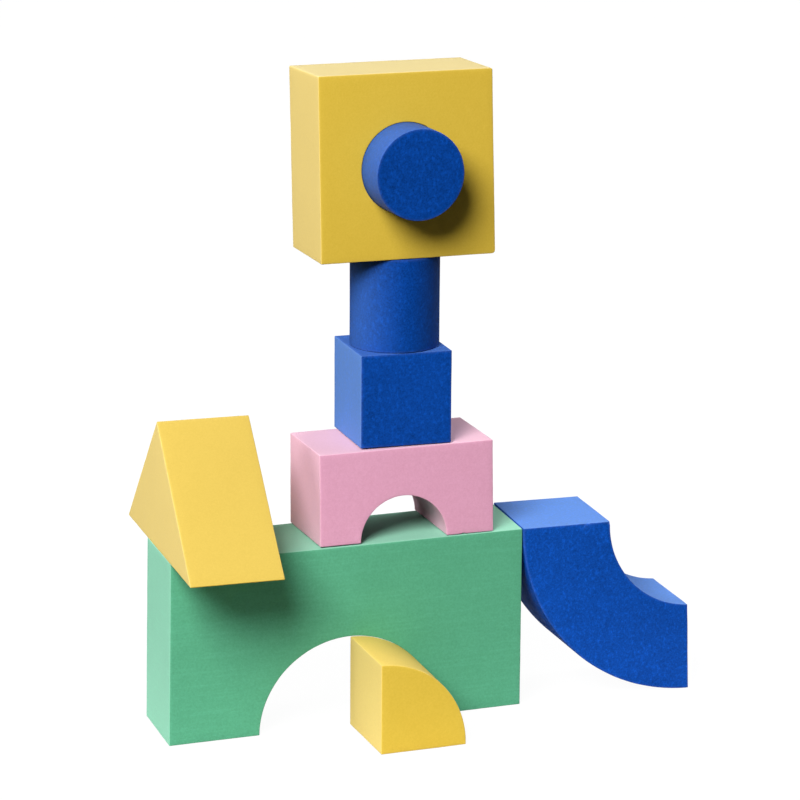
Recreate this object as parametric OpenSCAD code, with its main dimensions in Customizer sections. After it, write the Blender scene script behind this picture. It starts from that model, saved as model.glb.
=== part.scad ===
// Giant foam building blocks, stacked by hand into a tower on an arch.
// Nine loose blocks, each cut from thick foam slab, with softened edges.
// Millimetres, +Z up. The origin is the middle of the stack's box, on the floor.

/* [Foam slab] */
// Thickness of the slab that the blocks are cut from, which is their depth
block_depth = 100; // [85:1:115]
// Radius of the softened edges
edge_radius = 1.2; // [0.6:0.1:2]

/* [Large arch] */
// Width of the large arch
large_arch_width = 400; // [380:1:440]
// Height of the large arch
large_arch_height = 202; // [180:1:230]
// Radius of the half-round opening of the large arch
large_arch_radius = 101; // [80:1:115]

/* [Small arch] */
// Width of the small arch
small_arch_width = 200; // [170:1:230]
// Height of the small arch
small_arch_height = 103; // [85:1:120]
// Radius of the half-round opening of the small arch
small_arch_radius = 50; // [35:1:60]
// How far the opening lies from the middle of the small arch
small_arch_opening_x = -4; // [-8:0.5:8]
// Middle of the small arch, to the right of the middle of the large arch
small_arch_x = 66.5; // [40:0.5:80]
// How far the small arch stands back from the front of the large arch
small_arch_back = 1.5; // [-5:0.5:10]

/* [Cube] */
// Width of the cube
cube_width = 102; // [85:1:120]
// Height of the cube
cube_height = 103; // [85:1:120]
// Middle of the cube, to the right of the middle of the small arch
cube_x = 1.5; // [-20:0.5:20]
// Middle of the cube, behind the middle of the small arch
cube_back = 4; // [-10:0.5:10]
// How far the cube is turned, seen from above
cube_turn = -2.5; // [-10:0.5:10]

/* [Cylinders] */
// Diameter of both cylinders
cylinder_diameter = 97; // [70:1:110]
// Length of both cylinders
cylinder_length = 101; // [85:1:120]
// Axis of the standing cylinder, to the right of the middle of the cube
neck_x = 1; // [-10:0.5:10]
// Axis of the standing cylinder, in front of the middle of the cube
neck_front = 2.5; // [-10:0.5:10]
// How far the lying cylinder sticks out of the square block
peg_out = 46.5; // [5:0.5:80]

/* [Square block] */
// Width of the square block
square_width = 198; // [170:1:230]
// Height of the square block
square_height = 199; // [170:1:230]
// Height of the hole's axis above the bottom of the square block
hole_height = 97.5; // [85:0.5:115]
// Axis of the hole, to the right of the middle of the square block
hole_x = -3.5; // [-10:0.5:10]
// Clearance of the lying cylinder in its hole, on the radius
hole_clearance = 0.3; // [0.2:0.1:1]
// Middle of the square block, to the left of the standing cylinder's axis
square_left = 2; // [-10:0.5:10]
// Middle of the square block, behind the standing cylinder's axis
square_back = 5; // [-10:0.5:15]

/* [Roof prism] */
// Length of the two equal sides of the right-angled roof prism
prism_leg = 201; // [180:1:220]
// Thickness of the roof prism, along its ridge
prism_thickness = 99; // [85:1:115]
// Middle of the roof prism, from the left end of the large arch
prism_x = 53; // [45:0.5:80]
// How far the roof prism is turned, seen from above
prism_turn = -2.5; // [-10:0.5:10]

/* [Quarter round] */
// Clearance of the quarter round in the opening of the large arch, on the radius
quarter_clearance = 3; // [2:0.5:6]
// Upright face of the quarter round, to the right of the middle of the large arch
quarter_x = 1; // [0:0.5:1.5]
// How far the quarter round's rear end reaches into the opening of the large arch
quarter_in = 1.5; // [0.5:0.5:60]

/* [Curved ramp] */
// Thickness of the curved ramp between its inner and its outer curve
ramp_thickness = 100; // [80:1:120]
// Gap between the ramp's upper end and the large arch that it leans on
ramp_gap = 0.3; // [0.2:0.1:1]
// How far the ramp's near corner stands out in front of the large arch
ramp_out = 1; // [-5:0.5:10]
// How far the ramp is turned about that corner, seen from above
ramp_turn = -3; // [-10:0.5:0]

/* [Hidden] */
$fn = 96;
// How far cutting shapes run past the faces that they cut
past = 5;

foam_green = "#5fb88d";
foam_pink = "#dfa3c1";
foam_blue = "#1c4fae";
foam_yellow = "#e3c04b";

// Heights of the stacked blocks' undersides
small_arch_z = large_arch_height;
cube_z = small_arch_z + small_arch_height;
neck_z = cube_z + cube_height;
square_z = neck_z + cylinder_length;

// Middles of the stacked blocks, from the front left corner of the large arch
small_arch_mid = [large_arch_width / 2 + small_arch_x, small_arch_back + block_depth / 2];
cube_mid = small_arch_mid + [cube_x, cube_back];
neck_mid = cube_mid + [neck_x, -neck_front];
square_mid = neck_mid + [-square_left, square_back];
prism_mid = [prism_x, block_depth / 2];

// The prism's long side lies down, so its ridge is half as high as that side is long
prism_base = prism_leg * sqrt(2);
prism_height = prism_base / 2;
prism_foot_angle = 45;
// How far the rounded front and back edges of the prism reach from its middle
prism_reach = prism_base / 2 - edge_radius * (1 / tan(prism_foot_angle / 2) - 1);

quarter_radius = large_arch_radius - quarter_clearance;
quarter_out = block_depth - quarter_in;

// The ramp's top lies level with the top of the large arch
ramp_outer = large_arch_height;
ramp_inner = ramp_outer - ramp_thickness;

// Box of the whole stack, which sets the origin
stack_left = min(0, prism_x - prism_thickness / 2 * cos(prism_turn) - prism_reach * abs(sin(prism_turn)));
stack_right = large_arch_width + ramp_gap + ramp_outer * cos(ramp_turn) - block_depth * sin(ramp_turn);
prism_half_depth = prism_reach * cos(prism_turn) + prism_thickness / 2 * abs(sin(prism_turn));
stack_front = min(-quarter_out, prism_mid[1] - prism_half_depth);
stack_back = max(square_mid[1] + block_depth / 2, prism_mid[1] + prism_half_depth);
stack_shift = [-(stack_left + stack_right) / 2, -(stack_front + stack_back) / 2, 0];

// Rectangle with rounded corners, its lower left corner at the origin
module rounded_rectangle(width, height) {
    inset = edge_radius;
    translate([inset, 0])
        square([width - 2 * inset, height]);
    translate([0, inset])
        square([width, height - 2 * inset]);
    for (x = [inset, width - inset], y = [inset, height - inset])
        translate([x, y])
            circle(inset);
}

// Straight run of a flat profile along Y, with the profile's up as Z
module along_y(from, to) {
    translate([0, to, 0])
        rotate([90, 0, 0])
            linear_extrude(to - from)
                children();
}

// Straight run of a flat profile along X, with the profile's right as Y and its up as Z
module along_x(from, to) {
    translate([from, 0, 0])
        rotate([90, 0, 90])
            linear_extrude(to - from)
                children();
}

// Block with all its edges rounded, its front lower left corner at the origin
module rounded_block(width, height) {
    intersection() {
        along_y(-past, block_depth + past)
            rounded_rectangle(width, height);
        along_x(-past, width + past)
            rounded_rectangle(block_depth, height);
        translate([0, 0, -past])
            linear_extrude(height + 2 * past)
                rounded_rectangle(width, block_depth);
    }
}

// Cylinder with rounded rims, standing on the origin
module rounded_cylinder(radius, length) {
    inset = edge_radius;
    rotate_extrude() {
        square([radius - inset, length]);
        translate([0, inset])
            square([radius, length - 2 * inset]);
        for (y = [inset, length - inset])
            translate([radius - inset, y])
                circle(inset);
    }
}

// Round cut through a block's depth, flared at both faces so that its rims are rounded
module flared_cut(radius) {
    rotate([-90, 0, 0])
        rotate_extrude()
            difference() {
                translate([0, -past])
                    square([radius + edge_radius, block_depth + 2 * past]);
                translate([radius, edge_radius])
                    square([2 * edge_radius, block_depth - 2 * edge_radius]);
                for (y = [edge_radius, block_depth - edge_radius])
                    translate([radius + edge_radius, y])
                        circle(edge_radius);
            }
}

// Cut that rounds the corner where a hollow curve, centred on the origin, meets the flat face below it
module hollow_corner_cut(radius) {
    centre_x = sqrt(pow(radius + edge_radius, 2) - pow(edge_radius, 2));
    along_y(-past, block_depth + past)
        difference() {
            polygon([[0, -past], [centre_x, -past], [centre_x, edge_radius], [0, 0]]);
            translate([centre_x, edge_radius])
                circle(edge_radius);
        }
}

// Cut that rounds the corner where a bulging curve, centred on the origin, meets the flat face below it
module bulging_corner_cut(radius) {
    centre_x = sqrt(pow(radius - edge_radius, 2) - pow(edge_radius, 2));
    far_x = radius + past;
    along_y(-past, block_depth + past)
        difference() {
            polygon([[centre_x, -past], [far_x, -past], [far_x, far_x * edge_radius / centre_x],
                     [centre_x, edge_radius]]);
            translate([centre_x, edge_radius])
                circle(edge_radius);
        }
}

// Repeats a corner cut at the other end of a quarter turn
module at_both_ends() {
    children();
    mirror([1, 0, -1])
        children();
}

// Quarter of a disc, its square corner at the origin and its curve to the right
module quarter_disc(radius) {
    difference() {
        intersection() {
            rotate([-90, 0, 0])
                rounded_cylinder(radius, block_depth);
            rounded_block(radius + past, radius + past);
        }
        at_both_ends()
            bulging_corner_cut(radius);
    }
}

// Block with a half-round opening in its underside, the opening's middle at opening_x
module arched_block(width, height, radius, opening_x) {
    difference() {
        rounded_block(width, height);
        translate([opening_x, 0, 0]) {
            flared_cut(radius);
            hollow_corner_cut(radius);
            mirror([1, 0, 0])
                hollow_corner_cut(radius);
        }
    }
}

// Right-angled triangle with rounded corners, its long side on the X axis
module rounded_triangle() {
    inset = edge_radius;
    slant = inset / sqrt(2);
    foot_x = prism_base / 2 - inset / tan(prism_foot_angle / 2);
    ridge_y = prism_height - inset * sqrt(2);
    polygon([[-foot_x, 0], [foot_x, 0], [foot_x + slant, inset + slant], [slant, ridge_y + slant],
             [-slant, ridge_y + slant], [-foot_x - slant, inset + slant]]);
    for (centre = [[-foot_x, inset], [foot_x, inset], [0, ridge_y]])
        translate(centre)
            circle(inset);
}

// Slab that rounds the edges of one of the prism's three long faces, which lies on Z = 0
module prism_face_slab() {
    along_y(-prism_base, prism_base)
        translate([-prism_thickness / 2, 0])
            rounded_rectangle(prism_thickness, prism_base);
}

// Large arch that carries the stack
module large_arch() {
    color(foam_green)
        translate(stack_shift)
            arched_block(large_arch_width, large_arch_height, large_arch_radius, large_arch_width / 2);
}

// Small arch on the large one
module small_arch() {
    color(foam_pink)
        translate(stack_shift + [small_arch_mid[0] - small_arch_width / 2, small_arch_back, small_arch_z])
            arched_block(small_arch_width, small_arch_height, small_arch_radius,
                         small_arch_width / 2 + small_arch_opening_x);
}

// Cube on the small arch
module cube_block() {
    color(foam_blue)
        translate(stack_shift + [cube_mid[0], cube_mid[1], cube_z])
            rotate([0, 0, cube_turn])
                translate([-cube_width / 2, -block_depth / 2, 0])
                    rounded_block(cube_width, cube_height);
}

// Standing cylinder on the cube
module neck_cylinder() {
    color(foam_blue)
        translate(stack_shift + [neck_mid[0], neck_mid[1], neck_z])
            rounded_cylinder(cylinder_diameter / 2, cylinder_length);
}

// Square block with a round hole through it, on the standing cylinder
module square_block() {
    color(foam_yellow)
        translate(stack_shift + [square_mid[0] - square_width / 2, square_mid[1] - block_depth / 2, square_z])
            difference() {
                rounded_block(square_width, square_height);
                translate([square_width / 2 + hole_x, 0, hole_height])
                    flared_cut(cylinder_diameter / 2 + hole_clearance);
            }
}

// Lying cylinder, pushed half way into the hole
module peg_cylinder() {
    color(foam_blue)
        translate(stack_shift + [square_mid[0] + hole_x, square_mid[1] - block_depth / 2 - peg_out,
                                 square_z + hole_height])
            rotate([-90, 0, 0])
                rounded_cylinder(cylinder_diameter / 2, cylinder_length);
}

// Roof prism on the left end of the large arch, its ridge across the view
module roof_prism() {
    color(foam_yellow)
        translate(stack_shift + [prism_mid[0], prism_mid[1], large_arch_height])
            rotate([0, 0, prism_turn])
                intersection() {
                    along_x(-prism_thickness / 2 - past, prism_thickness / 2 + past)
                        rounded_triangle();
                    prism_face_slab();
                    for (tilt = [-1, 1])
                        translate([0, 0, prism_height])
                            rotate([tilt * (180 - prism_foot_angle), 0, 0])
                                prism_face_slab();
                }
}

// Quarter round on the floor, drawn out of the large arch's opening
module quarter_round() {
    color(foam_yellow)
        translate(stack_shift + [large_arch_width / 2 + quarter_x, -quarter_out, 0])
            quarter_disc(quarter_radius);
}

// Curved ramp that leans on the right end of the large arch, hollow side up
module curved_ramp() {
    color(foam_blue)
        translate(stack_shift + [large_arch_width + ramp_gap, -ramp_out, 0])
            rotate([0, 0, ramp_turn])
                translate([ramp_outer, 0, ramp_outer])
                    rotate([0, 180, 0])
                        difference() {
                            quarter_disc(ramp_outer);
                            flared_cut(ramp_inner);
                            at_both_ends()
                                hollow_corner_cut(ramp_inner);
                        }
}

large_arch();
small_arch();
cube_block();
neck_cylinder();
square_block();
peg_cylinder();
roof_prism();
quarter_round();
curved_ramp();
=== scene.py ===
import math

import bmesh
import bpy
from mathutils import Matrix, Vector, noise


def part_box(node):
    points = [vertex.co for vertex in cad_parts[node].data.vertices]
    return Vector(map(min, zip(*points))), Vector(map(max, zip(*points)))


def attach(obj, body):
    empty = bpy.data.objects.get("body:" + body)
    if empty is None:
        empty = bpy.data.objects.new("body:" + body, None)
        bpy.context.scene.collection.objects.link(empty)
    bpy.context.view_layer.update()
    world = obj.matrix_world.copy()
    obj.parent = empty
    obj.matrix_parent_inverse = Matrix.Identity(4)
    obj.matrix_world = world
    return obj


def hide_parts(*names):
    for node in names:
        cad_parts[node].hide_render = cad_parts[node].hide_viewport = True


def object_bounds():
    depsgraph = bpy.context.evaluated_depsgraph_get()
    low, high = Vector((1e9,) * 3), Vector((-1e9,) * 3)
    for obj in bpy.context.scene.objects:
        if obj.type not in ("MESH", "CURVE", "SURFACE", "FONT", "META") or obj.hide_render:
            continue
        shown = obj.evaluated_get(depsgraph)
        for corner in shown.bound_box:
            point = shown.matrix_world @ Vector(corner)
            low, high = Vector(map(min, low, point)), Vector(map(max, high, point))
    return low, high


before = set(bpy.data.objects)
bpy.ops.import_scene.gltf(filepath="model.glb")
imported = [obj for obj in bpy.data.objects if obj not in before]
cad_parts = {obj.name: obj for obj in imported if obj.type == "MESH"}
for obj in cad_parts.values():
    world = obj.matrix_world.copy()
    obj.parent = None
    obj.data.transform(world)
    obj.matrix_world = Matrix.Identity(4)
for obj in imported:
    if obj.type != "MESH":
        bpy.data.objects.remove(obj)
cad_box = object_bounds()

MM = 0.001

# Camera, at the photograph's angle
CAMERA_AZIMUTH = math.radians(-20.44)
CAMERA_ELEVATION = math.radians(14.0)
CAMERA_ROLL = math.radians(0.41)
CAMERA_DISTANCE = 3.3117
CAMERA_TARGET = Vector((-0.0275, 0.0031, 0.3455))
CAMERA_LENS = 137.9

# Edges of the blocks and the mesh that carries them
RIM = 1.0 * MM
CORNER = 1.1 * MM
HOLE_RIM = 0.4 * MM
FADE = 2.0 * MM
GRID = 9 * MM
GRID_SHIFT = 0.01 * MM
CUT_TOLERANCE = 1e-7
FLAT_MARK = 1
ARC_STEP = 4.5 * MM
LEAST_ARC_PARTS = 8
RIM_STEPS = 4
CORNER_STEPS = 5
SHARP_TURN = math.radians(20)
SAME_PLACE = 0.001 * MM

# Hand-cut foam is never quite flat or straight
FLAT_WAVE = 0.35 * MM
FLAT_WAVE_LENGTH = 70 * MM
EDGE_WAVE = 0.30 * MM
EDGE_WAVE_LENGTH = 14 * MM
NOISE_STRIDE = Vector((3.1, 5.7, 7.9))

# Sizes that the blocks' boxes don't give
LARGE_TUNNEL = 100.4 * MM
LARGE_TUNNEL_X = 0.8 * MM
SMALL_TUNNEL = 49.2 * MM
SMALL_TUNNEL_X = -4 * MM
CUBE_WIDTH = 102 * MM
CUBE_DEPTH = 100 * MM
CUBE_TURN = math.radians(-2.5)
HOLE_CLEARANCE = 0.3 * MM
PRISM_LEG = 201 * MM
PRISM_THICKNESS = 99 * MM
PRISM_TURN = math.radians(-2.5)
RAMP_TOP = 102.5 * MM
RAMP_DEPTH = 100 * MM
RAMP_TURN = math.radians(-3)
RAMP_END_LEAN = math.radians(2.2)
RAMP_HOLLOW_GROWTH = 4 * MM

# Rounder corners of the square block, by their place in its outline: lower right, upper right, upper left
SQUARE_CORNERS = {1: 4 * MM, 2: 2.5 * MM, 3: 2 * MM}
# Its points stay in place this close to its hole, and are free to move from this many radii on
HOLE_MARGIN = 3 * MM
HOLE_FREE_RADII = 1.8

# Nicks in front edges: each one's X along the edge, its radius and its depth
SMALL_ARCH_NICKS = [(165 * MM, 2.6 * MM, 1.3 * MM)]
RAMP_NICKS = [(75 * MM, 3.2 * MM, 2.8 * MM), (RAMP_TOP - 2 * MM, 2.4 * MM, 0.9 * MM)]
NICK_INSET = RIM / 3
NICK_REACH = 2
NICK_CUTS = 2

# Corners and edges of blocks that aren't quite square, and how far each one moves, in millimetres
CORNER_PULLS = {
    "large_arch": {
        "left bottom front": (-2.8, 0, 0),
        "left top front": (1, 0, 0),
        "left top back": (4, 0, 1),
        "right top back": (4.4, 0, 3.2),
        "right top front": (0.2, 0, 0.6),
        "right bottom front": (0.6, 0, 0),
    },
    "small_arch": {
        "right top front": (-2, 0, 1),
        "right top back": (-1, 0, 2),
        "left top back": (0, 0, 0.8),
        "left bottom front": (0.8, 0, 0),
        "front bottom": (0, 0, 0.7),
        "left bottom": (0, 0, 0.6),
        "left bottom back": (0, 0, 1.2),
        "right bottom back": (0, 0, 2.8),
    },
    "cube_block": {
        "left top back": (0, 0, 0.6),
        "right top back": (0, 0, 1.2),
        "front bottom": (0, 0, 0.9),
        "left bottom": (0, 0, 0.6),
        "left bottom back": (0, 0, 0.4),
        "right bottom back": (0, 0, 1.3),
    },
    "neck_cylinder": {},
    "square_block": {
        "left top front": (-1.2, 0, -1),
        "left top back": (0, 0, -2.6),
        "right top front": (-5.6, 0, 0),
        "right top back": (-1.4, 0, -1.4),
        "left bottom front": (2.4, 0, 0),
        "left bottom back": (4.2, 0, 0),
        "right bottom front": (0.8, 0, 0),
    },
    "peg_cylinder": {},
    "roof_prism": {
        "left front": (0, -1, 0),
        "right front": (0, -1, 0),
        "left back": (0, 0.8, 0),
        "right back": (0, 0.8, 0),
    },
    "quarter_round": {
        "left top back": (0, 0, 3),
        "right top back": (3, 0, 3),
        "right bottom back": (2.6, 0, 0),
        "left top front": (0, 0, 1.4),
        "right top front": (0.4, 0, 1.4),
        "right bottom front": (-1.2, 0, 0),
    },
    "curved_ramp": {
        "left top front": (0, 0, 0.8),
        "right top front": (-1.2, 0, 1.2),
        "right bottom front": (-1.2, 0, 0),
        "left top back": (0, 0, 3.6),
        "right top back": (-3.6, 0, 2.8),
        "right bottom back": (-1, 0, 0),
        "left bottom back": (-5, 0, 0),
    },
}

# Each block's tone, partly its slab's own and partly painted light, with lower blocks set lighter as if lit
# from the floor and upper ones and the prism set darker; then the share of painted sheen, which pales its
# sides and its top
TONES_AND_PAINTED_SHEEN = {
    "large_arch": (1.0, 0.26, 0.29),
    "small_arch": (1.0, 0.19, 0.23),
    "cube_block": (1.0, 0.30, 0.13),
    "neck_cylinder": (0.84, 0.08, 0.0),
    "square_block": (0.87, 0.17, 0.30),
    "peg_cylinder": (0.87, 0.10, 0.11),
    "roof_prism": (0.78, 0.20, 0.10),
    "quarter_round": (1.03, 0.17, 0.10),
    "curved_ramp": (1.32, 0.36, 0.35),
}
# Painted shade on the prism's slopes, which face the key lamp: its ends are set lighter than its slopes. The
# ramp's underside, which lies in shade, gets no painted sheen
PRISM_END_TONE = 1.05
PRISM_END_FACING = 0.7
UNDERSIDE_SHARE = 0.5


# Outlines, seen from the front, anticlockwise, as points with X to the right and Y up

def arc(centre, radius, start, end, end_radius=None):
    """Points of a round stretch between two angles in degrees; its radius may change on the way."""
    end_radius = end_radius or radius
    count = max(LEAST_ARC_PARTS, math.ceil(abs(math.radians(end - start)) * radius / ARC_STEP))
    points = []
    for k in range(count + 1):
        share = k / count
        angle = math.radians(start + (end - start) * share)
        reach = radius + (end_radius - radius) * share
        points.append(centre + reach * Vector((math.cos(angle), math.sin(angle))))
    return points


def rectangle(width, height):
    return [Vector((0, 0)), Vector((width, 0)), Vector((width, height)), Vector((0, height))]


def arch(width, height, radius, tunnel_x):
    tunnel = arc(Vector((tunnel_x, 0)), radius, 180, 0)
    return [Vector((0, 0))] + tunnel + [Vector((width, 0)), Vector((width, height)), Vector((0, height))]


def circle(centre, radius):
    return arc(centre, radius, 0, 360)[:-1]


def roof(base, height):
    return [Vector((-base / 2, 0)), Vector((base / 2, 0)), Vector((0, height))]


def quarter_disc(radius):
    return [Vector((0, 0))] + arc(Vector((0, 0)), radius, 0, 90)


def quarter_ring(outer, thickness):
    """Quarter of a ring, hollow side up, whose lower end leans a little towards its hollow."""
    centre = Vector((outer, outer))
    inner = outer - thickness
    lean = math.degrees(RAMP_END_LEAN)
    hollow = arc(centre, inner + RAMP_HOLLOW_GROWTH, 270 - lean, 180, inner)
    return arc(centre, outer, 180, 270) + hollow


def soften(points, corner, rounder):
    """Rounds an outline's sharp corners, some of them more, and spreads points along its straight sides.
    Gives each point's place, its outward direction, its wear, which is 1 on a corner, and its corner's radius
    and mitre, along which it goes on once an inset has used up the radius."""
    softened = []
    count = len(points)
    for k, point in enumerate(points):
        into = (point - points[k - 1]).normalized()
        out = (points[(k + 1) % count] - point).normalized()
        turn = math.atan2(into.x * out.y - into.y * out.x, into.dot(out))
        into_outward = Vector((into.y, -into.x))
        out_outward = Vector((out.y, -out.x))
        if abs(turn) < SHARP_TURN:
            softened.append(side_point(point, (into_outward + out_outward).normalized()))
            continue
        radius = rounder.get(k, corner)
        trim = radius * math.tan(turn / 2)
        support = max(radius, RIM + FADE) * math.tan(turn / 2) + FADE / 2
        centre = point - into * trim - radius * into_outward
        mitre = (into_outward + out_outward) / (1 + into_outward.dot(out_outward))
        start = math.atan2(into_outward.y, into_outward.x)
        softened.append(side_point(point - into * support, into_outward))
        for step in range(CORNER_STEPS + 1):
            angle = start + turn * step / CORNER_STEPS
            outward = Vector((math.cos(angle), math.sin(angle)))
            softened.append((centre + radius * outward, outward, 1.0, radius, mitre))
        softened.append(side_point(point + out * support, out_outward))
    return spread(softened)


def side_point(point, outward):
    """Point of an outline that isn't on a corner."""
    return point, outward, 0.0, math.inf, outward


def spread(outline):
    """Adds points along an outline's long sides."""
    filled = []
    for here, following in zip(outline, outline[1:] + outline[:1]):
        filled.append(here)
        way = following[0] - here[0]
        parts = math.ceil(way.length / GRID)
        for k in range(1, parts):
            filled.append(side_point(here[0] + way * k / parts, Vector((way.y, -way.x)).normalized()))
    return filled


# Meshes

def ring_levels(depth, rim):
    """Inset, depth and wear of each ring of points, from the front face's border to the back face's."""
    front = [(rim + FADE, 0.0, 0.0)]
    for step in range(RIM_STEPS + 1):
        angle = math.pi / 2 * step / RIM_STEPS
        front.append((rim * (1 - math.sin(angle)), rim * (1 - math.cos(angle)), 1.0))
    front.append((0.0, rim + FADE, 0.0))
    inner_depth = depth - 2 * (rim + FADE)
    parts = math.ceil(inner_depth / GRID)
    middle = [(0.0, rim + FADE + inner_depth * k / parts, 0.0) for k in range(1, parts)]
    back = [(inset, depth - level, wear) for inset, level, wear in reversed(front)]
    return front + middle + back


def add_ring(mesh, wear_layer, outline, inset, level, ring_wear):
    """Ring of points inside an outline. A corner that the inset has used up has one point only."""
    ring = []
    for point, outward, wear, radius, mitre in outline:
        flat = point - outward * min(inset, radius) - mitre * max(0.0, inset - radius)
        place = Vector((flat.x, level, flat.y))
        if ring and (ring[-1].co - place).length < SAME_PLACE:
            ring.append(ring[-1])
            continue
        vertex = mesh.verts.new(place)
        vertex[wear_layer] = max(wear, ring_wear)
        ring.append(vertex)
    return ring


def add_wall(mesh, wear_layer, outline, depth, rim):
    """Wall that follows an outline from front to back, with rounded rims. Gives its first and last ring."""
    rings = [add_ring(mesh, wear_layer, outline, *level) for level in ring_levels(depth, rim)]
    for near, far in zip(rings, rings[1:]):
        for k in range(len(near)):
            corners = list(dict.fromkeys((near[k - 1], near[k], far[k], far[k - 1])))
            if len(corners) > 2:
                mesh.faces.new(corners)
    return list(dict.fromkeys(rings[0])), list(dict.fromkeys(rings[-1]))


def highest(ring):
    return max(range(len(ring)), key=lambda k: ring[k].co.z - abs(ring[k].co.x - middle_x(ring)))


def lowest(ring):
    return min(range(len(ring)), key=lambda k: ring[k].co.z + abs(ring[k].co.x - middle_x(ring)))


def middle_x(ring):
    return (min(v.co.x for v in ring) + max(v.co.x for v in ring)) / 2


def stretch(ring, start, end):
    """Part of a closed ring from one place to another, both included, going on in the ring's order."""
    length = (end - start) % len(ring)
    return [ring[(start + k) % len(ring)] for k in range(length + 1)]


def add_face(mesh, outer, hole):
    """Flat face inside a ring. Round a hole it is made as two halves."""
    if hole is None:
        return [mesh.faces.new(outer)]
    outer_top, outer_low, hole_top, hole_low = highest(outer), lowest(outer), highest(hole), lowest(hole)
    left = stretch(outer, outer_top, outer_low) + stretch(hole, hole_low, hole_top)
    right = stretch(outer, outer_low, outer_top) + stretch(hole, hole_top, hole_low)
    return [mesh.faces.new(left), mesh.faces.new(right)]


def cut_into_grid(mesh, outline):
    """Cuts the flat faces, which are marked by their material index, into a grid, so that they can bend."""
    for axis in (0, 2):
        values = [entry[0][axis // 2] for entry in outline]
        low, high = min(values), max(values)
        parts = math.ceil((high - low) / GRID)
        direction = Vector((axis == 0, 0, axis == 2))
        for k in range(1, parts):
            flats = [face for face in mesh.faces if face.material_index == FLAT_MARK]
            geometry = set(flats)
            for face in flats:
                geometry.update(face.edges)
                geometry.update(face.verts)
            place = direction * (low + (high - low) * k / parts + GRID_SHIFT)
            bmesh.ops.bisect_plane(
                mesh, geom=list(geometry), dist=CUT_TOLERANCE, plane_co=place, plane_no=direction)
    for face in mesh.faces:
        face.material_index = 0


def share_of(word, share):
    """How close a point, given by its shares of the block's box, is to the named side: 1 on it, 0 across."""
    axis = {"left": 0, "right": 0, "front": 1, "back": 1, "bottom": 2, "top": 2}[word]
    far = word in ("right", "back", "top")
    return share[axis] if far else 1 - share[axis]


def freedom(place, steady):
    """How free a point is to move: 0 near a steady place, which is an X, a Z, the radius that stays and the
    one from which on points are free, and 1 elsewhere."""
    if steady is None:
        return 1.0
    x, z, still, whole = steady
    gap = math.hypot(place.x - x, place.z - z)
    return min(1.0, max(0.0, (gap - still) / (whole - still)))


def pull_corners(mesh, pulls, steady):
    """Moves the corners of a block that isn't quite square. A pull names a corner, and fades away from it."""
    low = Vector([min(v.co[axis] for v in mesh.verts) for axis in range(3)])
    high = Vector([max(v.co[axis] for v in mesh.verts) for axis in range(3)])
    for vertex in mesh.verts:
        share = [(vertex.co[axis] - low[axis]) / (high[axis] - low[axis]) for axis in range(3)]
        move = Vector((0, 0, 0))
        for corner, pull in pulls.items():
            weight = math.prod(share_of(word, share) for word in corner.split())
            move += weight * MM * Vector(pull)
        vertex.co += move * freedom(vertex.co, steady)


def wave(place):
    """Noise from 0 to 1."""
    return 0.5 + 0.5 * noise.noise(place)


def weather(mesh, wear_layer, seed, steady):
    """Draws the surface in by part of a millimetre, in slow waves on flats and quick ones on edges."""
    mesh.normal_update()
    apart = NOISE_STRIDE * seed
    moves = []
    for vertex in mesh.verts:
        slow = wave(vertex.co / FLAT_WAVE_LENGTH + apart)
        quick = wave(vertex.co / EDGE_WAVE_LENGTH + apart)
        depth = FLAT_WAVE * slow + EDGE_WAVE * quick * vertex[wear_layer]
        moves.append(vertex.normal * depth * freedom(vertex.co, steady))
    for vertex, move in zip(mesh.verts, moves):
        vertex.co -= move


def edge_middle(edge):
    return (edge.verts[0].co + edge.verts[1].co) / 2


def add_nick(mesh, place, radius, depth):
    """Small nick in an edge."""
    near = [edge for edge in mesh.edges if (edge_middle(edge) - place).length < NICK_REACH * radius]
    bmesh.ops.subdivide_edges(mesh, edges=near, cuts=NICK_CUTS, use_grid_fill=True)
    mesh.normal_update()
    for vertex in mesh.verts:
        gap = (vertex.co - place).length / radius
        if gap < 1:
            vertex.co -= vertex.normal * depth * (1 - gap * gap)


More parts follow.
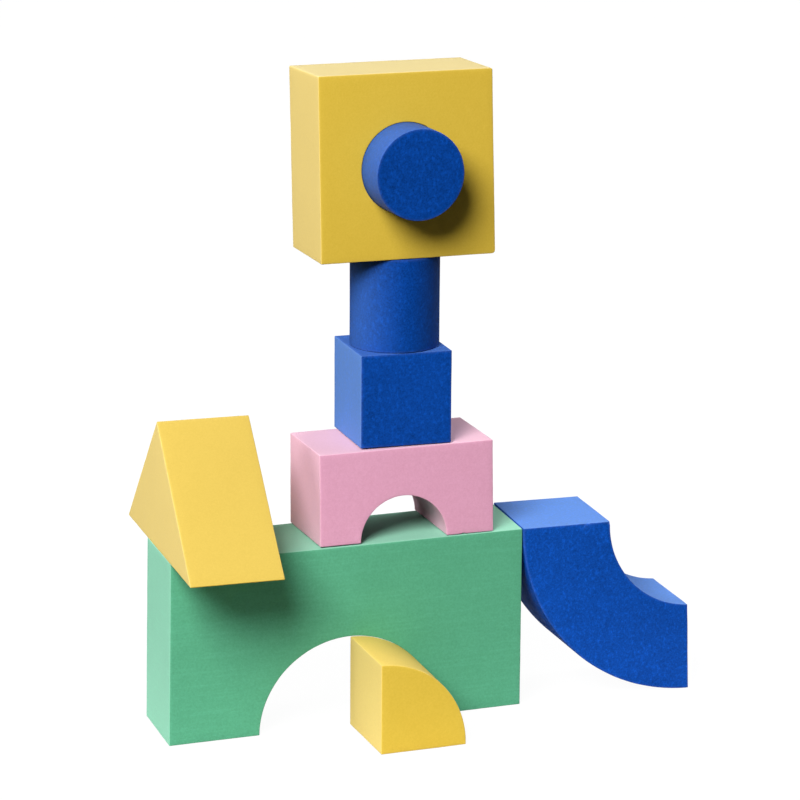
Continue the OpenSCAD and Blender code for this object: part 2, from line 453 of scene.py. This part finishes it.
def make_block(node, slot, outline, depth, placement, hole=None, rounder=None, steady=None, nicks=()):
    """Block of foam with one outline through its whole depth, in place of the node of the same name.
    Some corners of the outline, given by their place in it, are rounder than the others.
    Its tone makes it darker or lighter than the other blocks of its colour: partly its slab's own tone,
    partly painted light, lower blocks lighter and upper ones darker. Its sides and its top carry a painted
    sheen, paler than its front and back faces."""
    tone, painted_sheen_sides, painted_sheen_top = TONES_AND_PAINTED_SHEEN[node]
    mesh = bmesh.new()
    wear_layer = mesh.verts.layers.float.new("edge_wear")
    soft_outline = soften(outline, CORNER, rounder or {})
    ends = add_wall(mesh, wear_layer, soft_outline, depth, RIM)
    holes = (None, None)
    if hole:
        holes = add_wall(mesh, wear_layer, soften(hole, CORNER, {}), depth, HOLE_RIM)
    for outer, inner in zip(ends, holes):
        for face in add_face(mesh, outer, inner):
            face.material_index = FLAT_MARK
    cut_into_grid(mesh, soft_outline)
    bmesh.ops.recalc_face_normals(mesh, faces=mesh.faces)
    weather(mesh, wear_layer, list(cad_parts).index(node) + 1, steady)
    pull_corners(mesh, CORNER_PULLS[node], steady)
    for place, radius, nick_depth in nicks:
        add_nick(mesh, place, radius, nick_depth)
    mesh.transform(placement)
    data = bpy.data.meshes.new(node + "_foam")
    mesh.to_mesh(data)
    mesh.free()
    data.shade_smooth()
    # Painted sheen: the sides and the top are paled, more where they face straight sideways or up
    painted_sheen = [painted_sheen_sides * v.normal.x ** 2 + painted_sheen_top * max(0.0, v.normal.z) ** 2 for v in data.vertices]
    # Tone, partly the slab's own and partly painted light
    tones = [tone] * len(data.vertices)
    data.attributes.new("painted_sheen_share", "FLOAT", "POINT").data.foreach_set("value", painted_sheen)
    data.attributes.new("tone_with_painted_light", "FLOAT", "POINT").data.foreach_set("value", tones)
    data.materials.append(MATERIALS[slot])
    piece = bpy.data.objects.new(node + "_foam", data)
    bpy.context.scene.collection.objects.link(piece)
    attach(piece, node)
    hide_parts(node)
    return piece


# Foam, matt with a fine pebbly grain

# Its noises, from coarse to fine: marks to a metre, detail, and how much each one changes the tone
CLOUD_SCALE = 14
CLOUD_DETAIL = 3
CLOUD_WEIGHT = 0.5
MOTTLE_SCALE = 130
MOTTLE_DETAIL = 4
MOTTLE_WEIGHT = 0.3
GRAIN_SCALE = 520
GRAIN_DETAIL = 3
GRAIN_WEIGHT = 1.3
NOISE_ROUGHNESS = 0.6
NOISE_MIDDLE = 0.5
MIDDLE_TONE = 0.45

# Its drawn-out marks show where their noise passes from one value to another
MARK_SCALE = 120
MARK_DETAIL = 5
MARK_START = 0.47
MARK_WHOLE = 0.77
UPRIGHT_MARKS = (1, 1, 0.6)
LEVEL_MARKS = (0.12, 0.3, 3)
FINE_MARKS = (2.6, 2.6, 1.8)

# Its surface
EDGE_PALENESS = 0.08
WORN_WHITE = 0.25
ROUGHNESS = 0.6
ROUGHNESS_SPREAD = 0.2
MOTTLE_RELIEF = 1.2
MARK_RELIEF = 0.6
BUMP_STRENGTH = 0.3
BUMP_DEPTH = 0.25 * MM
FOAM_IOR = 1.2
SHEEN = 0.1
SHEEN_ROUGHNESS = 0.4

# Its colour where it is dark and light, the colour of its painted sheen, its contrast, its marks and how much
# they show
FOAMS = {
    "green_foam": (
        (0.086, 0.345, 0.194), (0.117, 0.450, 0.264), (0.66, 0.98, 0.86), 1.1, LEVEL_MARKS, 0.3),
    "pink_foam": (
        (0.690, 0.325, 0.455), (0.760, 0.376, 0.530), (0.66, 0.74, 0.64), 1.4, LEVEL_MARKS, 0.2),
    "blue_foam": (
        (0.001, 0.025, 0.140), (0.004, 0.079, 0.460), (0.30, 0.55, 1.00), 0.85, FINE_MARKS, 0.5),
    "yellow_foam": (
        (0.690, 0.467, 0.049), (0.760, 0.527, 0.067), (0.64, 0.74, 0.73), 1.2, UPRIGHT_MARKS, 0.1),
}


def add_node(tree, kind, inputs=None, **settings):
    node = tree.nodes.new(kind)
    for name, value in settings.items():
        setattr(node, name, value)
    for name, value in (inputs or {}).items():
        if isinstance(value, bpy.types.NodeSocket):
            tree.links.new(value, node.inputs[name])
        else:
            node.inputs[name].default_value = value
    return node


def calculate(tree, operation, *values):
    """Result of one step of arithmetic."""
    return add_node(tree, "ShaderNodeMath", dict(enumerate(values)), operation=operation).outputs[0]


def smooth_step(tree, value, start, whole, low=0.0, high=1.0):
    """Goes smoothly from low to high while the value goes from start to whole."""
    inputs = {"Value": value, "From Min": start, "From Max": whole, "To Min": low, "To Max": high}
    return add_node(tree, "ShaderNodeMapRange", inputs, interpolation_type="SMOOTHSTEP").outputs[0]


def mix_colours(tree, share, first, second):
    """First colour, or the second where the share is 1."""
    return add_node(tree, "ShaderNodeMix", {0: share, 6: first, 7: second}, data_type="RGBA").outputs[2]


def point_value(tree, name):
    """Value that each point of a mesh carries."""
    return add_node(tree, "ShaderNodeAttribute", attribute_name=name).outputs["Fac"]


def cloud(tree, place, scale, detail, stretch_by=(1, 1, 1)):
    """Value of a noise whose marks are drawn out where stretch_by is small."""
    mapped = add_node(tree, "ShaderNodeMapping", {"Vector": place, "Scale": stretch_by}).outputs["Vector"]
    inputs = {"Vector": mapped, "Scale": scale, "Detail": detail, "Roughness": NOISE_ROUGHNESS}
    return add_node(tree, "ShaderNodeTexNoise", inputs).outputs["Fac"]


def weigh(tree, value, weight, base):
    """base plus the value's distance from its middle, times a weight."""
    centred = calculate(tree, "SUBTRACT", value, NOISE_MIDDLE)
    return calculate(tree, "MULTIPLY_ADD", centred, weight, base)


def make_foam(slot, dark, light, painted_sheen, contrast, marks, mark_weight):
    """Foam that varies between a dark and a light colour, and is paled towards its painted sheen colour where
    its points carry painted sheen.
    Its marks are drawn out along small scales."""
    material = bpy.data.materials.new(slot)
    material.use_nodes = True
    tree = material.node_tree
    tree.nodes.clear()
    place = add_node(tree, "ShaderNodeTexCoord").outputs["Object"]
    clouds = cloud(tree, place, CLOUD_SCALE, CLOUD_DETAIL)
    mottle = cloud(tree, place, MOTTLE_SCALE, MOTTLE_DETAIL)
    grain = cloud(tree, place, GRAIN_SCALE, GRAIN_DETAIL)
    drawn = cloud(tree, place, MARK_SCALE, MARK_DETAIL, marks)
    wisps = smooth_step(tree, drawn, MARK_START, MARK_WHOLE)
    tone = weigh(tree, clouds, CLOUD_WEIGHT * contrast, MIDDLE_TONE)
    tone = weigh(tree, mottle, MOTTLE_WEIGHT * contrast, tone)
    tone = weigh(tree, grain, GRAIN_WEIGHT * contrast, tone)
    tone = calculate(tree, "MULTIPLY_ADD", wisps, mark_weight, tone)
    body = mix_colours(tree, tone, dark + (1,), light + (1,))
    # Tone, partly the slab's own and partly painted light: lower blocks lighter, upper ones darker
    tone_scaling = {0: body, "Scale": point_value(tree, "tone_with_painted_light")}
    body = add_node(tree, "ShaderNodeVectorMath", tone_scaling, operation="SCALE").outputs[0]
    # Painted sheen, which pales the sides and tops
    body = mix_colours(tree, point_value(tree, "painted_sheen_share"), body, painted_sheen + (1,))
    rubbed = calculate(tree, "MULTIPLY", point_value(tree, "edge_wear"), mottle)
    worn = calculate(tree, "MULTIPLY", rubbed, EDGE_PALENESS)
    worn_colour = tuple((1 - WORN_WHITE) * value + WORN_WHITE for value in light) + (1,)
    colour = mix_colours(tree, worn, body, worn_colour)
    relief = weigh(tree, mottle, MOTTLE_RELIEF, grain)
    relief = weigh(tree, drawn, MARK_RELIEF, relief)
    bump = add_node(tree, "ShaderNodeBump", {
        "Height": relief, "Strength": BUMP_STRENGTH, "Distance": BUMP_DEPTH})
    shader = add_node(tree, "ShaderNodeBsdfPrincipled", {
        "Base Color": colour,
        "Roughness": weigh(tree, mottle, ROUGHNESS_SPREAD, ROUGHNESS),
        "IOR": FOAM_IOR,
        "Sheen Weight": SHEEN,
        "Sheen Roughness": SHEEN_ROUGHNESS,
        "Sheen Tint": light + (1,),
        "Normal": bump.outputs["Normal"],
    })
    output = add_node(tree, "ShaderNodeOutputMaterial")
    tree.links.new(shader.outputs["BSDF"], output.inputs["Surface"])
    return material


MATERIALS = {slot: make_foam(slot, *look) for slot, look in FOAMS.items()}


# Blocks

def at(low):
    return Matrix.Translation(low)


def turned(middle, turn, local_middle):
    return Matrix.Translation(middle) @ Matrix.Rotation(turn, 4, "Z") @ Matrix.Translation(-local_middle)


def change_side(piece, attribute, chosen, value):
    """Gives the chosen points of a block another tone or share of painted sheen."""
    for vertex, entry in zip(piece.data.vertices, piece.data.attributes[attribute].data):
        if chosen(vertex):
            entry.value = value


def front_nicks(nicks, height):
    """Nicks in a front edge, with their places in the block."""
    return [(Vector((x, NICK_INSET, height)), radius, depth) for x, radius, depth in nicks]


def make_large_arch():
    low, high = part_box("large_arch")
    size = high - low
    outline = arch(size.x, size.z, LARGE_TUNNEL, size.x / 2 + LARGE_TUNNEL_X)
    make_block("large_arch", "green_foam", outline, size.y, at(low))


def make_small_arch():
    low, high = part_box("small_arch")
    size = high - low
    outline = arch(size.x, size.z, SMALL_TUNNEL, size.x / 2 + SMALL_TUNNEL_X)
    nicks = front_nicks(SMALL_ARCH_NICKS, NICK_INSET)
    make_block("small_arch", "pink_foam", outline, size.y, at(low), nicks=nicks)


def make_cube():
    low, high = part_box("cube_block")
    height = high.z - low.z
    outline = rectangle(CUBE_WIDTH, height)
    placement = turned((low + high) / 2, CUBE_TURN, Vector((CUBE_WIDTH, CUBE_DEPTH, height)) / 2)
    make_block("cube_block", "blue_foam", outline, CUBE_DEPTH, placement)


def make_neck():
    low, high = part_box("neck_cylinder")
    middle = (low + high) / 2
    outline = circle(Vector((0, 0)), (high.x - low.x) / 2)
    placement = at(Vector((middle.x, middle.y, low.z))) @ Matrix.Rotation(math.pi / 2, 4, "X")
    make_block("neck_cylinder", "blue_foam", outline, high.z - low.z, placement)


def make_square():
    low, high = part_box("square_block")
    size = high - low
    outline = rectangle(size.x, size.z)
    peg_low, peg_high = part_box("peg_cylinder")
    axis = (peg_low + peg_high) / 2 - low
    radius = (peg_high.x - peg_low.x) / 2 + HOLE_CLEARANCE
    hole = list(reversed(circle(Vector((axis.x, axis.z)), radius)))
    steady = (axis.x, axis.z, radius + HOLE_MARGIN, HOLE_FREE_RADII * radius)
    make_block("square_block", "yellow_foam", outline, size.y, at(low), hole, SQUARE_CORNERS, steady)


def make_peg():
    low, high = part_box("peg_cylinder")
    middle = (low + high) / 2
    outline = circle(Vector((0, 0)), (high.x - low.x) / 2)
    placement = at(Vector((middle.x, low.y, middle.z)))
    make_block("peg_cylinder", "blue_foam", outline, high.y - low.y, placement)


def make_prism():
    low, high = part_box("roof_prism")
    base = PRISM_LEG * math.sqrt(2)
    height = base / 2
    middle = (low + high) / 2
    across = Matrix.Rotation(-math.pi / 2, 4, "Z") @ Matrix.Translation((0, -PRISM_THICKNESS / 2, 0))
    placement = at(Vector((middle.x, middle.y, low.z))) @ Matrix.Rotation(PRISM_TURN, 4, "Z") @ across
    prism = make_block("roof_prism", "yellow_foam", roof(base, height), PRISM_THICKNESS, placement)
    # Painted shade: the slopes, which face the key lamp, keep the darker tone and the ends get a lighter one
    change_side(prism, "tone_with_painted_light", lambda vertex: abs(vertex.normal.x) > PRISM_END_FACING, PRISM_END_TONE)


def make_quarter():
    low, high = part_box("quarter_round")
    size = high - low
    make_block("quarter_round", "yellow_foam", quarter_disc(size.x), size.y, at(low))


def make_ramp():
    low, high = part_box("curved_ramp")
    corner = Vector((low.x, high.y - RAMP_DEPTH * math.cos(RAMP_TURN), 0))
    placement = at(corner) @ Matrix.Rotation(RAMP_TURN, 4, "Z")
    outer = high.z
    outline = quarter_ring(outer, RAMP_TOP)
    nicks = front_nicks(RAMP_NICKS, outer - NICK_INSET)
    ramp = make_block("curved_ramp", "blue_foam", outline, RAMP_DEPTH, placement, nicks=nicks)
    centre = corner + Vector((outer, 0, outer))
    least = outer * UNDERSIDE_SHARE
    # No painted sheen on the underside, which lies in shade
    change_side(ramp, "painted_sheen_share", lambda vertex: vertex.normal.dot(vertex.co - centre) > least, 0.0)


make_large_arch()
make_small_arch()
make_cube()
make_neck()
make_square()
make_peg()
make_prism()
make_quarter()
make_ramp()


# Floor, world, lamps and camera

FLOOR_RADIUS = 9.0
FLOOR_SEGMENTS = 96
# Whiteness of the floor beside the stack and far off, and how far from the stack it changes
FLOOR_NEAR = 0.48
FLOOR_FAR = 0.05
FLOOR_NEAR_EDGE = 0.04
FLOOR_FAR_EDGE = 0.28
# To the camera: whiteness that takes the shadow, and glow, which is whole farther off
FLOOR_SEEN = 0.04
FLOOR_GLOW = 0.97
GLOW_NEAR_EDGE = 0.1
GLOW_FAR_EDGE = 0.6
# White backdrop in reflections, from where it starts to where it is whole
BACKDROP_START = 0.1
BACKDROP_WHOLE = 0.8
BACKDROP_LEVEL = 0.15
# Even light from the world
AMBIENT = 0.02

# Place, size and level of each lamp, all aimed at the stack's middle
STACK_MIDDLE = Vector((0, 0, 0.35))
LAMPS = {
    "key_lamp": ((-2.13, -2.24, 2.81), 2.1, 1.67),
    "side_lamp": ((-2.6, 0.3, 1.5), 1.4, 0.36),
    "back_lamp": ((0.6, 2.3, 2.9), 2.0, 0.08),
    "right_lamp": ((1.3, 0.4, 2.4), 1.4, 0.34),
    "low_lamp": ((1.0, 0.35, 0.74), 0.8, 0.40),
}


def backdrop(tree, place):
    """How white the studio is in reflections: it is white behind the stack and dark before it."""
    behind = add_node(tree, "ShaderNodeSeparateXYZ", {0: place}).outputs["Y"]
    white = smooth_step(tree, behind, BACKDROP_START, BACKDROP_WHOLE, high=BACKDROP_LEVEL)
    reflected = add_node(tree, "ShaderNodeLightPath").outputs["Is Glossy Ray"]
    return calculate(tree, "MULTIPLY", white, reflected)


def make_floor():
    """Floor, white near the stack and dark farther off.
    To the camera it is white all over, with a faint shadow."""
    mesh = bmesh.new()
    bmesh.ops.create_circle(mesh, cap_ends=True, segments=FLOOR_SEGMENTS, radius=FLOOR_RADIUS)
    data = bpy.data.meshes.new("floor")
    mesh.to_mesh(data)
    mesh.free()
    floor = bpy.data.objects.new("floor", data)
    bpy.context.scene.collection.objects.link(floor)
    material = bpy.data.materials.new("white_floor")
    material.use_nodes = True
    tree = material.node_tree
    tree.nodes.clear()
    place = add_node(tree, "ShaderNodeTexCoord").outputs["Object"]
    half = (cad_box[1] - cad_box[0]) / 2
    apart = add_node(tree, "ShaderNodeVectorMath", {0: place}, operation="ABSOLUTE").outputs[0]
    apart = add_node(tree, "ShaderNodeVectorMath", {0: apart, 1: half}, operation="SUBTRACT").outputs[0]
    apart = add_node(tree, "ShaderNodeVectorMath", {0: apart, 1: (0, 0, 0)}, operation="MAXIMUM").outputs[0]
    apart = add_node(tree, "ShaderNodeVectorMath", {0: apart}, operation="LENGTH").outputs["Value"]
    white = smooth_step(tree, apart, FLOOR_NEAR_EDGE, FLOOR_FAR_EDGE, FLOOR_NEAR, FLOOR_FAR)
    seen = add_node(tree, "ShaderNodeLightPath").outputs["Is Camera Ray"]
    white = add_node(tree, "ShaderNodeMix", {0: seen, 2: white, 3: FLOOR_SEEN}).outputs[0]
    glow = smooth_step(tree, apart, GLOW_NEAR_EDGE, GLOW_FAR_EDGE, FLOOR_GLOW)
    glow = calculate(tree, "MULTIPLY", seen, glow)
    glow = calculate(tree, "ADD", glow, backdrop(tree, place))
    shine = add_node(tree, "ShaderNodeEmission", {"Strength": glow})
    matt = add_node(tree, "ShaderNodeBsdfDiffuse", {"Color": white})
    both = add_node(tree, "ShaderNodeAddShader", {0: matt.outputs[0], 1: shine.outputs[0]})
    output = add_node(tree, "ShaderNodeOutputMaterial")
    tree.links.new(both.outputs[0], output.inputs["Surface"])
    data.materials.append(material)


def make_world():
    """White to the camera and in reflections of the backdrop, and a dim even light for everything else."""
    world = bpy.data.worlds.new("studio")
    bpy.context.scene.world = world
    world.use_nodes = True
    tree = world.node_tree
    tree.nodes.clear()
    place = add_node(tree, "ShaderNodeTexCoord").outputs["Generated"]
    path = add_node(tree, "ShaderNodeLightPath").outputs
    seen = calculate(tree, "ADD", path["Is Camera Ray"], path["Is Transmission Ray"])
    seen = calculate(tree, "ADD", seen, backdrop(tree, place))
    levels = {"Value": seen, "To Min": AMBIENT, "To Max": 1.0}
    strength = add_node(tree, "ShaderNodeMapRange", levels).outputs[0]
    background = add_node(tree, "ShaderNodeBackground", {"Color": (1, 1, 1, 1), "Strength": strength})
    output = add_node(tree, "ShaderNodeOutputWorld")
    tree.links.new(background.outputs[0], output.inputs["Surface"])


def make_lamp(name, place, size, level):
    """Round soft lamp, aimed at the stack. At level 1 it shows a colour that faces it as it is written."""
    data = bpy.data.lights.new(name, "AREA")
    data.shape = "DISK"
    data.size = size
    way = Vector(place) - STACK_MIDDLE
    data.energy = level * (math.pi * way.length) ** 2
    lamp = bpy.data.objects.new(name, data)
    lamp.location = place
    lamp.rotation_euler = way.to_track_quat("Z", "Y").to_euler()
    lamp.visible_camera = False
    lamp.visible_glossy = False
    bpy.context.scene.collection.objects.link(lamp)


def make_camera():
    data = bpy.data.cameras.new("camera")
    data.lens = CAMERA_LENS
    camera = bpy.data.objects.new("camera", data)
    level = math.cos(CAMERA_ELEVATION)
    to_right = math.sin(CAMERA_AZIMUTH) * level
    to_back = -math.cos(CAMERA_AZIMUTH) * level
    back = Vector((to_right, to_back, math.sin(CAMERA_ELEVATION)))
    camera.location = CAMERA_TARGET + back * CAMERA_DISTANCE
    camera.rotation_mode = "QUATERNION"
    aim = (-back).to_track_quat("-Z", "Y")
    camera.rotation_quaternion = aim @ Matrix.Rotation(CAMERA_ROLL, 3, "Z").to_quaternion()
    bpy.context.scene.collection.objects.link(camera)
    bpy.context.scene.camera = camera


make_floor()
make_world()
for lamp_name, lamp_values in LAMPS.items():
    make_lamp(lamp_name, *lamp_values)
make_camera()
bpy.context.scene.view_settings.view_transform = "Standard"
